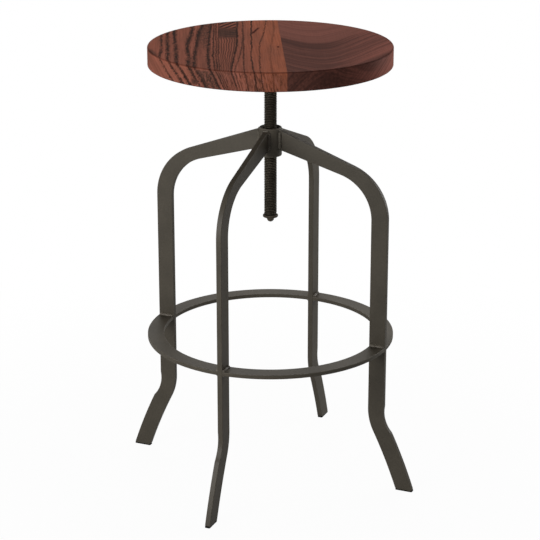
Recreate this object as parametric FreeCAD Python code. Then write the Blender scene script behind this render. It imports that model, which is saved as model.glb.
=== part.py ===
import FreeCAD, Part
import math
import os

# A screw-adjusted bar stool: a round two-board seat on a threaded spindle, a hub, four bent
# flat-bar legs and a welded foot ring. Millimetres, +Z up, origin on the floor on the axis.
# The seat is at the height that the photograph shows. Legs stand on the diagonals of X and Y.

# Seat
SEAT_DIAMETER = 355.6
SEAT_THICKNESS = 27.5
SEAT_TOP_HEIGHT = 665.8
SEAT_TOP_CHAMFER = 1.8
SEAT_LOWER_CHAMFER = 1.2
SEAT_JOIN_ANGLE = 70.2
SEAT_JOIN_OFFSET = 16.6

# Plate under the seat
PLATE_DIAMETER = 150.0
PLATE_THICKNESS = 5.0

# Spindle and the stub at its foot
SPINDLE_DIAMETER = 19.0
SPINDLE_LENGTH = 223.2
SPINDLE_END_CHAMFER = 0.8
SPINDLE_WELD_LEG = 4.0
STUB_DIAMETER = 6.0
STUB_LENGTH = 9.0

# Stop washer and domed nut at the foot of the spindle
WASHER_DIAMETER = 22.8
WASHER_THICKNESS = 4.0
WASHER_EDGE_CHAMFER = 1.2
STOP_NUT_FLATS = 11.0
STOP_NUT_HEX_HEIGHT = 2.0
STOP_NUT_DOME_HEIGHT = 5.4
STOP_NUT_DOME_STEPS = 2
RUNNING_CLEARANCE = 0.05

# Hub and the threaded bush inside it
HUB_DIAMETER = 33.7
HUB_BORE = 27.3
HUB_TOP_HEIGHT = 544.0
HUB_LENGTH = 43.0
HUB_EDGE_CHAMFER = 1.4
BUSH_RECESS = 4.0
BUSH_LENGTH = 34.0

# Leg bar. Its wide face lies in the upright plane through the stool's axis.
LEG_COUNT = 4
LEG_WIDTH = 25.0
LEG_THICKNESS = 8.0
LEG_OUTER_RADIUS = 185.6
BAR_EDGE_CHAMFER = 0.7

# Arm: the bar is drawn down from the hub to the bend, so its two edges slope unequally
ARM_BELOW_HUB_TOP = 3.5
ARM_DEPTH_AT_HUB = 29.5
ARM_TOP_SLOPE = 20.2
ARM_LOWER_SLOPE = 15.8
BEND_OUTER_RADIUS = 82.0
BEND_INNER_RADIUS = 67.0

# Kick: the press bends the leg outward and bites its outer edge, and the foot curves back
KICK_HEIGHT = 127.0
KICK_INNER_RADIUS = 83.0
KICK_ANGLE = 26.7
FOOT_CURVE_RADIUS = 750.0
PRESS_HEIGHT = 121.4
PRESS_RADIUS = 46.0
PRESS_BITE = 0.9
PRESS_LIP_RADIUS = 12.0
FOOT_CORNER_RADIUS = 1.6

# Glide under each foot
GLIDE_THICKNESS = 1.8
GLIDE_CORNER_CHAMFER = 1.0

# Foot ring, flush with the outer edges of the legs
RING_WIDTH = 24.5
RING_THICKNESS = 6.0
RING_TOP_HEIGHT = 226.4

# Weld beads
RING_TOP_BEAD_RADIUS = 3.2
RING_LOWER_BEAD_RADIUS = 2.4
RING_BEAD_INSET = 1.5
HUB_BEAD_RADIUS = 3.2
HUB_BEAD_INSET = 2.0

# Values that follow from the sizes above
SEAT_UNDERSIDE = SEAT_TOP_HEIGHT - SEAT_THICKNESS
PLATE_UNDERSIDE = SEAT_UNDERSIDE - PLATE_THICKNESS
SPINDLE_FOOT = PLATE_UNDERSIDE - SPINDLE_LENGTH
WASHER_TOP = SPINDLE_FOOT - RUNNING_CLEARANCE
WASHER_UNDERSIDE = WASHER_TOP - WASHER_THICKNESS
STOP_NUT_TOP = WASHER_UNDERSIDE - RUNNING_CLEARANCE
HUB_RADIUS = HUB_DIAMETER / 2
HUB_UNDERSIDE = HUB_TOP_HEIGHT - HUB_LENGTH
LEG_INNER_RADIUS = LEG_OUTER_RADIUS - LEG_WIDTH
ARM_TOP_AT_HUB = HUB_TOP_HEIGHT - ARM_BELOW_HUB_TOP
ARM_UNDERSIDE_AT_HUB = ARM_TOP_AT_HUB - ARM_DEPTH_AT_HUB
RING_INNER_RADIUS = LEG_OUTER_RADIUS - RING_WIDTH
RING_UNDERSIDE = RING_TOP_HEIGHT - RING_THICKNESS
CORNERS = ("back_right", "back_left", "front_left", "front_right")
SIDES = ("back", "left", "front", "right")
UP = FreeCAD.Vector(0, 0, 1)


def on_plane(radius, height):
    """A point in the upright plane through +X: distance from the axis, height."""
    return FreeCAD.Vector(radius, 0, height)


def on_circle(centre, radius, degrees):
    """A point on a circle in that plane, at an angle from the outward direction."""
    angle = math.radians(degrees)
    return centre + on_plane(radius * math.cos(angle), radius * math.sin(angle))


def arc(centre, radius, first, last):
    """An arc in that plane between two angles in degrees."""
    angles = (first, (first + last) / 2, last)
    return Part.Arc(*[on_circle(centre, radius, angle) for angle in angles]).toShape()


def line(start, end):
    return Part.LineSegment(start, end).toShape()


def turned(*corners):
    """A solid of revolution about the axis, from (radius, height) corners."""
    points = [on_plane(radius, height) for radius, height in corners]
    return Part.Face(Part.makePolygon(points + points[:1])).revolve(FreeCAD.Vector(), UP, 360)


def disc(diameter, underside, thickness):
    return Part.makeCylinder(diameter / 2, thickness, FreeCAD.Vector(0, 0, underside))


def swung(shape, degrees):
    """A copy turned about the stool's axis."""
    copy = shape.copy()
    copy.rotate(FreeCAD.Vector(), UP, degrees)
    return copy


def level_edges(solid, height):
    """The edges of a solid that lie at one height."""
    return [edge for edge in solid.Edges if abs(edge.BoundBox.ZMin - height) < 1e-6
            and abs(edge.BoundBox.ZMax - height) < 1e-6]


def leg_angle(index):
    """Legs stand half a step off +X, so that the gaps for the feet face X and Y."""
    return (index + 0.5) * 360 / LEG_COUNT


def seat_boards():
    """The round seat, its edges eased, parted along the glue joint."""
    seat = disc(SEAT_DIAMETER, SEAT_UNDERSIDE, SEAT_THICKNESS)
    seat = seat.makeChamfer(SEAT_TOP_CHAMFER, level_edges(seat, SEAT_TOP_HEIGHT))
    seat = seat.makeChamfer(SEAT_LOWER_CHAMFER, level_edges(seat, SEAT_UNDERSIDE))
    corner = FreeCAD.Vector(-SEAT_DIAMETER, -SEAT_DIAMETER - SEAT_JOIN_OFFSET, SEAT_UNDERSIDE)
    right_of_join = Part.makeBox(2 * SEAT_DIAMETER, SEAT_DIAMETER, SEAT_THICKNESS, corner)
    right_of_join = swung(right_of_join, SEAT_JOIN_ANGLE)
    return seat.cut(right_of_join), seat.common(right_of_join)


def spindle():
    """The screw at its outside diameter, its weld to the plate, and the stub that takes the stop."""
    radius = SPINDLE_DIAMETER / 2
    stub = STUB_DIAMETER / 2
    return turned((0, PLATE_UNDERSIDE), (radius + SPINDLE_WELD_LEG, PLATE_UNDERSIDE),
                  (radius, PLATE_UNDERSIDE - SPINDLE_WELD_LEG),
                  (radius, SPINDLE_FOOT + SPINDLE_END_CHAMFER),
                  (radius - SPINDLE_END_CHAMFER, SPINDLE_FOOT), (stub, SPINDLE_FOOT),
                  (stub, SPINDLE_FOOT - STUB_LENGTH), (0, SPINDLE_FOOT - STUB_LENGTH))


def stop_washer():
    washer = disc(WASHER_DIAMETER, WASHER_UNDERSIDE, WASHER_THICKNESS)
    rims = level_edges(washer, WASHER_TOP) + level_edges(washer, WASHER_UNDERSIDE)
    washer = washer.makeChamfer(WASHER_EDGE_CHAMFER, rims)
    hole_diameter = STUB_DIAMETER + 2 * RUNNING_CLEARANCE
    return washer.cut(disc(hole_diameter, WASHER_UNDERSIDE, WASHER_THICKNESS))


def stop_nut():
    """A hexagon with a domed end, bored blind for the spindle's stub."""
    corner_radius = STOP_NUT_FLATS / 2 / math.cos(math.radians(30))
    hex_underside = STOP_NUT_TOP - STOP_NUT_HEX_HEIGHT
    corners = [FreeCAD.Vector(corner_radius * math.cos(math.radians(60 * index)),
                              corner_radius * math.sin(math.radians(60 * index)),
                              hex_underside) for index in range(6)]
    hexagon = Part.Face(Part.makePolygon(corners + corners[:1]))
    nut = hexagon.extrude(FreeCAD.Vector(0, 0, STOP_NUT_HEX_HEIGHT))
    steps = [math.radians(90 * index / STOP_NUT_DOME_STEPS) for index in range(STOP_NUT_DOME_STEPS)]
    dome = [(STOP_NUT_FLATS / 2 * math.cos(step), hex_underside - STOP_NUT_DOME_HEIGHT * math.sin(step))
            for step in steps]
    nut = nut.fuse(turned((0, hex_underside), *dome, (0, hex_underside - STOP_NUT_DOME_HEIGHT)))
    stub_reach = SPINDLE_FOOT - STUB_LENGTH
    return nut.cut(disc(STUB_DIAMETER, stub_reach, STUB_LENGTH)).removeSplitter()


def hub():
    """A short tube with eased rims."""
    tube = disc(HUB_DIAMETER, HUB_UNDERSIDE, HUB_LENGTH)
    rims = level_edges(tube, HUB_TOP_HEIGHT) + level_edges(tube, HUB_UNDERSIDE)
    return tube.makeChamfer(HUB_EDGE_CHAMFER, rims).cut(disc(HUB_BORE, HUB_UNDERSIDE, HUB_LENGTH))


def hub_nut():
    """The threaded bush pressed into the hub, set below its mouth."""
    underside = HUB_TOP_HEIGHT - BUSH_RECESS - BUSH_LENGTH
    bore = SPINDLE_DIAMETER + 2 * RUNNING_CLEARANCE
    return disc(HUB_BORE, underside, BUSH_LENGTH).cut(disc(bore, underside, BUSH_LENGTH))


def bend_at(upright_radius, arm_height, slope, bend_radius):
    """The arc that rounds an arm edge, falling from the hub, into an upright edge."""
    fall = (upright_radius - HUB_RADIUS) * math.tan(math.radians(slope))
    tangent = bend_radius * math.tan(math.radians(90 - slope) / 2)
    centre = on_plane(upright_radius - bend_radius, arm_height - fall - tangent)
    return arc(centre, bend_radius, 90 - slope, 0)


def arm_root(arm_height, slope):
    """Where an arm edge reaches the hub's bore, so that the hub can cope the arm's end."""
    reach = HUB_RADIUS - HUB_BORE / 2
    return on_plane(HUB_BORE / 2, arm_height + reach * math.tan(math.radians(slope)))


def foot_centre():
    """The centre that both edges of the curved foot share."""
    turn = math.radians(KICK_ANGLE)
    reach = KICK_INNER_RADIUS + FOOT_CURVE_RADIUS
    kick_centre = on_plane(LEG_INNER_RADIUS + KICK_INNER_RADIUS, KICK_HEIGHT)
    return kick_centre - on_plane(reach * math.cos(turn), reach * math.sin(turn))


def foot_angle(radius):
    """The angle on the foot's curve at which the leg is cut off above the glide."""
    return math.degrees(math.asin((GLIDE_THICKNESS - foot_centre().z) / radius))


def foot_edges():
    """The distances from the axis of the inner and outer ends of the cut foot."""
    radii = (FOOT_CURVE_RADIUS, FOOT_CURVE_RADIUS + LEG_WIDTH)
    return [on_circle(foot_centre(), radius, foot_angle(radius)).x for radius in radii]


def press_ends(press_centre, foot_outer_radius):
    """Angles on the press circle where it leaves the upright edge and meets the foot's edge."""
    upper = 180 - math.degrees(math.acos((PRESS_RADIUS - PRESS_BITE) / PRESS_RADIUS))
    apart = press_centre - foot_centre()
    bearing = math.degrees(math.atan2(-apart.z, -apart.x)) % 360
    cosine = (PRESS_RADIUS ** 2 + apart.Length ** 2 - foot_outer_radius ** 2)
    cosine = cosine / (2 * PRESS_RADIUS * apart.Length)
    return upper, bearing + math.degrees(math.acos(cosine))


def leg_outline():
    """The wide face of a leg: outer edge from hub to foot, then the inner edge back up."""
    upper_bend = bend_at(LEG_OUTER_RADIUS, ARM_TOP_AT_HUB, ARM_TOP_SLOPE, BEND_OUTER_RADIUS)
    lower_bend = bend_at(LEG_INNER_RADIUS, ARM_UNDERSIDE_AT_HUB, ARM_LOWER_SLOPE, BEND_INNER_RADIUS)
    centre = foot_centre()
    outer_radius = FOOT_CURVE_RADIUS + LEG_WIDTH
    press_centre = on_plane(LEG_OUTER_RADIUS - PRESS_BITE + PRESS_RADIUS, PRESS_HEIGHT)
    press = arc(press_centre, PRESS_RADIUS, *press_ends(press_centre, outer_radius))
    start = press.lastVertex().Point - centre
    foot_start = math.degrees(math.atan2(start.z, start.x))
    foot_outer = arc(centre, outer_radius, foot_start, foot_angle(outer_radius))
    foot_inner = arc(centre, FOOT_CURVE_RADIUS, foot_angle(FOOT_CURVE_RADIUS), KICK_ANGLE)
    kick_centre = on_plane(LEG_INNER_RADIUS + KICK_INNER_RADIUS, KICK_HEIGHT)
    kick = arc(kick_centre, KICK_INNER_RADIUS, 180 + KICK_ANGLE, 180)
    upper_root = arm_root(ARM_TOP_AT_HUB, ARM_TOP_SLOPE)
    lower_root = arm_root(ARM_UNDERSIDE_AT_HUB, ARM_LOWER_SLOPE)
    return Part.Wire([
        line(upper_root, upper_bend.firstVertex().Point), upper_bend,
        line(upper_bend.lastVertex().Point, press.firstVertex().Point), press, foot_outer,
        line(foot_outer.lastVertex().Point, foot_inner.firstVertex().Point), foot_inner, kick,
        line(kick.lastVertex().Point, lower_bend.lastVertex().Point), lower_bend,
        line(lower_bend.firstVertex().Point, lower_root), line(lower_root, upper_root)])


def edges_across(solid, *points):
    """The edges that cross the bar's thickness at given points of the outline."""
    return [edge for edge in solid.Edges for point in points
            if math.hypot(edge.CenterOfMass.x - point.x, edge.CenterOfMass.z - point.z) < 1e-3
            and abs(edge.Length - LEG_THICKNESS) < 1e-6]


def leg():
    """One leg along +X: the outline through the bar's thickness, eased and coped to the hub."""
    outline = leg_outline()
    bar = Part.Face(outline).extrude(FreeCAD.Vector(0, LEG_THICKNESS, 0))
    bar.translate(FreeCAD.Vector(0, -LEG_THICKNESS / 2, 0))
    corners = [edge.firstVertex(True).Point for edge in outline.OrderedEdges]
    press_top, press_foot, foot_outer, foot_inner = corners[3:7]
    bar = bar.makeFillet(PRESS_LIP_RADIUS, edges_across(bar, press_top, press_foot))
    bar = bar.makeFillet(FOOT_CORNER_RADIUS, edges_across(bar, foot_outer, foot_inner))
    bore_face = HUB_BORE / 2 + 1e-3
    long_edges = [edge for edge in bar.Edges if edge.BoundBox.YLength < 1e-6
                  and edge.BoundBox.XMax > bore_face]
    bar = bar.makeChamfer(BAR_EDGE_CHAMFER, long_edges)
    return bar.cut(disc(HUB_DIAMETER, HUB_UNDERSIDE, HUB_LENGTH))


def foot_glide():
    """A thin pad with its corners cut, the size of the cut foot."""
    inner, outer = foot_edges()
    pad = Part.makeBox(outer - inner, LEG_THICKNESS, GLIDE_THICKNESS,
                       FreeCAD.Vector(inner, -LEG_THICKNESS / 2, 0))
    upright = [edge for edge in pad.Edges if edge.BoundBox.ZLength > GLIDE_THICKNESS / 2]
    return pad.makeChamfer(GLIDE_CORNER_CHAMFER, upright)


def foot_ring_arcs():
    """A flat ring with eased upper edges, parted by the legs into arcs, from the +Y arc round."""
    ring = disc(2 * LEG_OUTER_RADIUS, RING_UNDERSIDE, RING_THICKNESS)
    ring = ring.cut(disc(2 * RING_INNER_RADIUS, RING_UNDERSIDE, RING_THICKNESS))
    rims = level_edges(ring, RING_TOP_HEIGHT)
    ring = swung(ring.makeChamfer(BAR_EDGE_CHAMFER, rims), leg_angle(0))
    slot = Part.makeBox(2 * LEG_OUTER_RADIUS, LEG_THICKNESS, RING_THICKNESS,
                        FreeCAD.Vector(0, -LEG_THICKNESS / 2, RING_UNDERSIDE))
    for index in range(LEG_COUNT):
        ring = ring.cut(swung(slot, leg_angle(index)))
    middles = [leg_angle(index + 0.5) for index in range(LEG_COUNT)]
    return sorted(ring.Solids, key=lambda solid: middles.index(nearest(middles, solid)))


def nearest(angles, solid):
    """The angle closest to the bearing of a solid's centre."""
    centre = solid.CenterOfMass
    bearing = math.degrees(math.atan2(centre.y, centre.x))
    return min(angles, key=lambda angle: abs((bearing - angle + 180) % 360 - 180))


def bead(start, end, radius):
    """A round weld bead between two points."""
    run = end - start
    return Part.makeCylinder(radius, run.Length, start, run)


def ring_welds(bar, ring_arcs):
    """Beads in the corners above and below each butt joint of ring and leg."""
    inner = RING_INNER_RADIUS + RING_BEAD_INSET
    outer = LEG_OUTER_RADIUS - RING_BEAD_INSET
    welds = []
    for side in (-1, 1):
        offset = side * LEG_THICKNESS / 2
        upper = bead(FreeCAD.Vector(inner, offset, RING_TOP_HEIGHT),
                     FreeCAD.Vector(outer, offset, RING_TOP_HEIGHT), RING_TOP_BEAD_RADIUS)
        lower = bead(FreeCAD.Vector(inner, offset, RING_UNDERSIDE),
                     FreeCAD.Vector(outer, offset, RING_UNDERSIDE), RING_LOWER_BEAD_RADIUS)
        welds += [upper.cut(bar), lower.cut(bar)]
    placed = [swung(weld, leg_angle(index)) for index in range(LEG_COUNT) for weld in welds]
    return Part.makeCompound([weld.cut(Part.makeCompound(ring_arcs)).Solids[0] for weld in placed])


def hub_welds(bar):
    """Upright beads in the corners between each arm and the hub."""
    welds = []
    for side in (-1, 1):
        offset = side * LEG_THICKNESS / 2
        reach = math.sqrt(HUB_RADIUS ** 2 - offset ** 2)
        upper = FreeCAD.Vector(reach, offset, ARM_TOP_AT_HUB - HUB_BEAD_INSET)
        lower = FreeCAD.Vector(reach, offset, ARM_UNDERSIDE_AT_HUB + HUB_BEAD_INSET)
        welds.append(bead(lower, upper, HUB_BEAD_RADIUS).cut(bar))
    welds = [weld.cut(disc(HUB_DIAMETER, HUB_UNDERSIDE, HUB_LENGTH)).Solids[0] for weld in welds]
    return Part.makeCompound([swung(weld, leg_angle(index)) for index in range(LEG_COUNT)
                              for weld in welds])


nodes = {}
nodes["seat_board_left"], nodes["seat_board_right"] = seat_boards()
nodes["seat_plate"] = disc(PLATE_DIAMETER, PLATE_UNDERSIDE, PLATE_THICKNESS)
nodes["spindle"] = spindle()
nodes["stop_washer"] = stop_washer()
nodes["stop_nut"] = stop_nut()
nodes["hub"] = hub()
nodes["hub_nut"] = hub_nut()
one_leg = leg()
one_glide = foot_glide()
arcs = foot_ring_arcs()
for index, corner in enumerate(CORNERS):
    nodes["leg_" + corner] = swung(one_leg, leg_angle(index))
    nodes["foot_glide_" + corner] = swung(one_glide, leg_angle(index))
for side, ring_arc in zip(SIDES, arcs):
    nodes["foot_ring_" + side] = ring_arc
nodes["ring_welds"] = ring_welds(one_leg, arcs)
nodes["hub_welds"] = hub_welds(one_leg)

os.makedirs("parts", exist_ok=True)
for name, shape in nodes.items():
    shape.exportStep("parts/" + name + ".step")
    print(name, "valid" if shape.isValid() else "not valid", len(shape.Solids), "solids",
          round(shape.Volume, 1), "cubic mm")
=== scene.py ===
import math

import bmesh
import bpy
import numpy as np
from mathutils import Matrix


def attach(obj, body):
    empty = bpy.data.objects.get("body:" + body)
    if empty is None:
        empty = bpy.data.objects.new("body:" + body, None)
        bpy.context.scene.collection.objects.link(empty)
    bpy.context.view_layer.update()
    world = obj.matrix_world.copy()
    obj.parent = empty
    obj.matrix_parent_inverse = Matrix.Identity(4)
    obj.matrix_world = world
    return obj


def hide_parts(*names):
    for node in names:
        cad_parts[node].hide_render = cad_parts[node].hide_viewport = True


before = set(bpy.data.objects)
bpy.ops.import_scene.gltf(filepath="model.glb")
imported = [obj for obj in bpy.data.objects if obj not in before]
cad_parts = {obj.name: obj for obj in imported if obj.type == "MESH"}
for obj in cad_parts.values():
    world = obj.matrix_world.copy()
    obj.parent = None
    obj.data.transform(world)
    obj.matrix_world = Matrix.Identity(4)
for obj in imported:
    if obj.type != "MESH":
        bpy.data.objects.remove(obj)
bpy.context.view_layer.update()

# Hub: a short length of thick steel tube that everything is joined to. Its rims are
# rounded off by grinding, and the whole frame is powder coated in a dark bronze brown.
HUB_RADIUS = 0.01685
HUB_BORE_RADIUS = 0.01365
HUB_TOP = 0.5440
HUB_FOOT = 0.5010
HUB_RIM_ROUND = 0.0018
HUB_MOUTH_ROUND = 0.0007
COAT_BROWN = (0.0660, 0.0572, 0.0436, 1.0)


def skin(name, grids, loop_rows=False, loop_columns=False, capped=False, edge=None, sharp=None):
    """A mesh over one or more grids of points, shaped (grids, rows, columns, xyz).

    One quad joins each four neighbours. Looping rows or columns join end to start, and flat
    ends are capped by one face each. Doubled points are merged, which closes seams and poles,
    and faces are turned outward. Edge is a value per point, kept as the attribute "edge".
    Faces that meet at more than the sharp angle, in degrees, are shaded apart."""
    count, rows, columns = grids.shape[:3]
    index = np.arange(rows * columns).reshape(rows, columns)
    first, last = index[0], index[-1]
    if loop_rows:
        index = np.vstack([index, index[:1]])
    if loop_columns:
        index = np.hstack([index, index[:, :1]])
    quads = np.stack([index[:-1, :-1], index[:-1, 1:], index[1:, 1:], index[1:, :-1]], -1)
    starts = rows * columns * np.arange(count)[:, None, None]
    faces = (quads.reshape(1, -1, 4) + starts).reshape(-1, 4).tolist()
    if capped:
        caps = np.stack([first[::-1], last])
        faces += (caps[None] + starts).reshape(-1, columns).tolist()
    mesh = bpy.data.meshes.new(name)
    mesh.from_pydata(grids.reshape(-1, 3), [], faces)
    if edge is not None:
        values = np.broadcast_to(edge, grids.shape[:3]).astype(np.float32).ravel()
        mesh.attributes.new("edge", "FLOAT", "POINT").data.foreach_set("value", values)
    work = bmesh.new()
    work.from_mesh(mesh)
    bmesh.ops.remove_doubles(work, verts=work.verts, dist=1e-6)
    bmesh.ops.dissolve_degenerate(work, edges=work.edges, dist=1e-7)
    bmesh.ops.recalc_face_normals(work, faces=work.faces)
    work.to_mesh(mesh)
    work.free()
    mesh.polygons.foreach_set("use_smooth", np.ones(len(mesh.polygons), bool))
    if sharp is not None:
        mesh.set_sharp_from_angle(angle=math.radians(sharp))
    piece = bpy.data.objects.new(name, mesh)
    bpy.context.scene.collection.objects.link(piece)
    return piece


def sweep(centre, radius, first, last, count=7):
    """Points of an arc in a plane: the centre plus the radius at evenly stepped angles, in degrees."""
    angle = np.radians(np.linspace(first, last, count))
    return np.stack([centre[0] + radius * np.cos(angle), centre[1] + radius * np.sin(angle)], -1)


def turned(profile, columns=96):
    """Each (radius, height) of a profile carried round the stool's upright axis."""
    angle = np.linspace(0, 2 * np.pi, columns, endpoint=False)
    radius, height = profile[:, :1], profile[:, 1:]
    return np.stack([radius * np.cos(angle), radius * np.sin(angle),
                     np.broadcast_to(height, (len(profile), columns))], -1)[None]


def add_node(tree, kind, inputs=None, **settings):
    """A shader node with its settings, and each named input either linked or set."""
    made = tree.nodes.new(kind)
    for key, value in settings.items():
        setattr(made, key, value)
    for key, value in (inputs or {}).items():
        if isinstance(value, bpy.types.NodeSocket):
            tree.links.new(value, made.inputs[key])
        else:
            made.inputs[key].default_value = value
    return made


def maths(tree, operation, *values):
    """The result of one Math node."""
    return add_node(tree, "ShaderNodeMath", dict(enumerate(values)), operation=operation).outputs[0]


def times(tree, first, second):
    """The product of two values."""
    return maths(tree, "MULTIPLY", first, second)


def tint(tree, share, first, second, blend="MIX"):
    """Two colours mixed by a share."""
    made = add_node(tree, "ShaderNodeMix", data_type="RGBA", blend_type=blend)
    for socket, value in zip((made.inputs[0], made.inputs[6], made.inputs[7]), (share, first, second)):
        if isinstance(value, bpy.types.NodeSocket):
            tree.links.new(value, socket)
        else:
            socket.default_value = value
    return made.outputs[2]


def ramp(tree, value, low, high, to_low=0.0, to_high=1.0):
    """A value mapped smoothly from one range to another."""
    return add_node(tree, "ShaderNodeMapRange", {0: value, 1: low, 2: high, 3: to_low, 4: to_high},
                    interpolation_type="SMOOTHSTEP").outputs[0]


def noise(tree, vector, scale, detail=2.0, roughness=0.5):
    """A noise value along a vector."""
    return add_node(tree, "ShaderNodeTexNoise", {"Vector": vector, "Scale": scale, "Detail": detail,
                                                 "Roughness": roughness}).outputs["Fac"]


def new_group(name, takes, gives):
    """A node group with typed inputs and outputs, and its input and output nodes."""
    group = bpy.data.node_groups.new(name, "ShaderNodeTree")
    for label, kind in takes:
        group.interface.new_socket(label, in_out="INPUT", socket_type=kind)
    for label, kind in gives:
        group.interface.new_socket(label, in_out="OUTPUT", socket_type=kind)
    return group, group.nodes.new("NodeGroupInput"), group.nodes.new("NodeGroupOutput")


def new_material(name):
    """A material with only its Principled shader and output left."""
    material = bpy.data.materials.new(name)
    material.use_nodes = True
    return material, material.node_tree, material.node_tree.nodes["Principled BSDF"]


def take_over(tree, shader, effect):
    """Links the colour, roughness and normal that a group gives to the shader."""
    for source, target in (("Color", "Base Color"), ("Roughness", "Roughness"), ("Normal", "Normal")):
        tree.links.new(effect.outputs[source], shader.inputs[target])


def clear_sheen(shader, weight, roughness):
    """A thin clear coat, in place of the shader's own shine."""
    shader.inputs["Specular IOR Level"].default_value = 0.0
    shader.inputs["Coat Weight"].default_value = weight
    shader.inputs["Coat Roughness"].default_value = roughness


def coat_group():
    """Sprayed and baked coat: slow mottling, fine orange peel, and paler edges from the Edge Color, which
    stand for thinner coat on the frame's bars and for painted highlight where a coat's Edge Color is far
    paler.
    """
    group, taken, given = new_group(
        "baked_coat",
        [("Color", "NodeSocketColor"), ("Edge Color", "NodeSocketColor"), ("Gloss", "NodeSocketFloat")],
        [("Color", "NodeSocketColor"), ("Roughness", "NodeSocketFloat"), ("Normal", "NodeSocketVector")])
    place = add_node(group, "ShaderNodeTexCoord").outputs["Object"]
    edge = add_node(group, "ShaderNodeAttribute", attribute_name="edge").outputs["Fac"]
    mottle = noise(group, place, 22.0, 3.0)
    speck = noise(group, place, 420.0, 2.0)
    peel = noise(group, place, 900.0, 1.0)
    shade = maths(group, "ADD", ramp(group, mottle, 0.3, 0.7, 0.9, 1.08),
                  ramp(group, speck, 0.3, 0.7, -0.05, 0.05))
    grey = add_node(group, "ShaderNodeCombineColor", {0: shade, 1: shade, 2: shade}).outputs[0]
    coloured = tint(group, 1.0, taken.outputs["Color"], grey, "MULTIPLY")
    # Paler edges: thinner coat on the frame's bar edges, and painted highlight on pieces whose Edge Color
    # is far paler.
    patches = ramp(group, noise(group, place, 60.0, 3.0), 0.35, 0.65, 0.35, 0.8)
    wear_and_highlight = times(group, edge, patches)
    group.links.new(tint(group, wear_and_highlight, coloured, taken.outputs["Edge Color"]), given.inputs["Color"])
    rough = maths(group, "ADD", taken.outputs["Gloss"], ramp(group, speck, 0.25, 0.75, -0.05, 0.06))
    group.links.new(rough, given.inputs["Roughness"])
    bump = add_node(group, "ShaderNodeBump", {"Height": peel, "Strength": 0.12, "Distance": 0.0002})
    group.links.new(bump.outputs["Normal"], given.inputs["Normal"])
    return group


def coat_material(name, brown, edge_brown, gloss, sheen):
    """The baked coat over steel, in one of its browns, with a thin clear sheen."""
    material, tree, shader = new_material(name)
    effect = add_node(tree, "ShaderNodeGroup", node_tree=baked_coat)
    effect.inputs["Color"].default_value = brown
    effect.inputs["Edge Color"].default_value = edge_brown
    effect.inputs["Gloss"].default_value = gloss
    take_over(tree, shader, effect)
    clear_sheen(shader, sheen, 0.4)
    return material


def fit(piece, material, slot, body, *nodes):
    """Finishes a piece: its material, the body it rides on and the nodes it stands for. The slot is not
    used.
    """
    piece.data.materials.append(material)
    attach(piece, body)
    if nodes:
        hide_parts(*nodes)


baked_coat = coat_group()
frame_coat = coat_material("frame_coat", COAT_BROWN, (0.110, 0.097, 0.078, 1.0), 0.5, 0.25)
hub_profile = np.concatenate([
    sweep((HUB_RADIUS - HUB_RIM_ROUND, HUB_FOOT + HUB_RIM_ROUND), HUB_RIM_ROUND, -90, 0),
    sweep((HUB_RADIUS - HUB_RIM_ROUND, HUB_TOP - HUB_RIM_ROUND), HUB_RIM_ROUND, 0, 90),
    sweep((HUB_BORE_RADIUS + HUB_MOUTH_ROUND, HUB_TOP - HUB_MOUTH_ROUND), HUB_MOUTH_ROUND, 90, 180),
    sweep((HUB_BORE_RADIUS + HUB_MOUTH_ROUND, HUB_FOOT + HUB_MOUTH_ROUND), HUB_MOUTH_ROUND, 180, 270)])
# Hub coat: its far paler edge colour is painted highlight on the hub's rounded rims, and painted light on
# the mouth and down the shaded bore wall.
hub_highlight_coat = coat_material("hub_highlight_coat", COAT_BROWN, (0.190, 0.170, 0.140, 1.0), 0.5, 0.25)
rounded = np.sin(np.linspace(0, np.pi, 7))
mouth = np.sin(np.linspace(0, np.pi / 2, 7))
# Painted highlight on the rims, and painted light fading down the bore wall from the mouth.
hub_edge = np.concatenate([rounded, rounded, mouth, rounded])[:, None]
hub = skin("hub", turned(hub_profile), loop_rows=True, loop_columns=True, edge=hub_edge)
fit(hub, hub_highlight_coat, "frame_coat", "frame", "hub")

# Legs: flat steel bar, forged taper at the arm, bent on edge over a former, and kicked out at
# the foot by a press that bites the outer edge. The arm's end is coped to the hub and welded.
LEG_ANGLES = {"back_right": 45, "back_left": 135, "front_left": 225, "front_right": 315}
BAR_HALF_THICKNESS = 0.004
BAR_EDGE_ROUND = 0.0009
LEG_OUTER = 0.1856
LEG_INNER = 0.1606
ARM_TOP = 0.5405
ARM_UNDERSIDE = 0.5110
ARM_TOP_SLOPE = 20.2
ARM_LOWER_SLOPE = 15.8
BEND_OUTER = 0.082
BEND_INNER = 0.067
KICK_HEIGHT = 0.127
KICK_INNER = 0.083
KICK_ANGLE = 26.7
FOOT_CURVE = 0.75
PRESS_HEIGHT = 0.1214
PRESS_RADIUS = 0.046
PRESS_BITE = 0.0009
FOOT_CUT = 0.0018
FOOT_CORNER = 0.0016
UPRIGHT_FOOT = 0.16
COPE_SINK = 0.0003
KICK_CENTRE = np.array([LEG_INNER + KICK_INNER, KICK_HEIGHT])
KICK_WAY = np.array([math.cos(math.radians(KICK_ANGLE)), math.sin(math.radians(KICK_ANGLE))])
FOOT_CENTRE = KICK_CENTRE - (KICK_INNER + FOOT_CURVE) * KICK_WAY


def bend_points(upright, arm_height, slope, radius):
    """The arm edge's straight fall from the hub, rounded by an arc into the upright edge."""
    fall = (upright - HUB_RADIUS) * math.tan(math.radians(slope))
    drop = radius * math.tan(math.radians(90 - slope) / 2)
    arc = sweep((upright - radius, arm_height - fall - drop), radius, 90 - slope, 0, 40)
    root = np.array([HUB_RADIUS, arm_height])
    return root, arc


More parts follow.
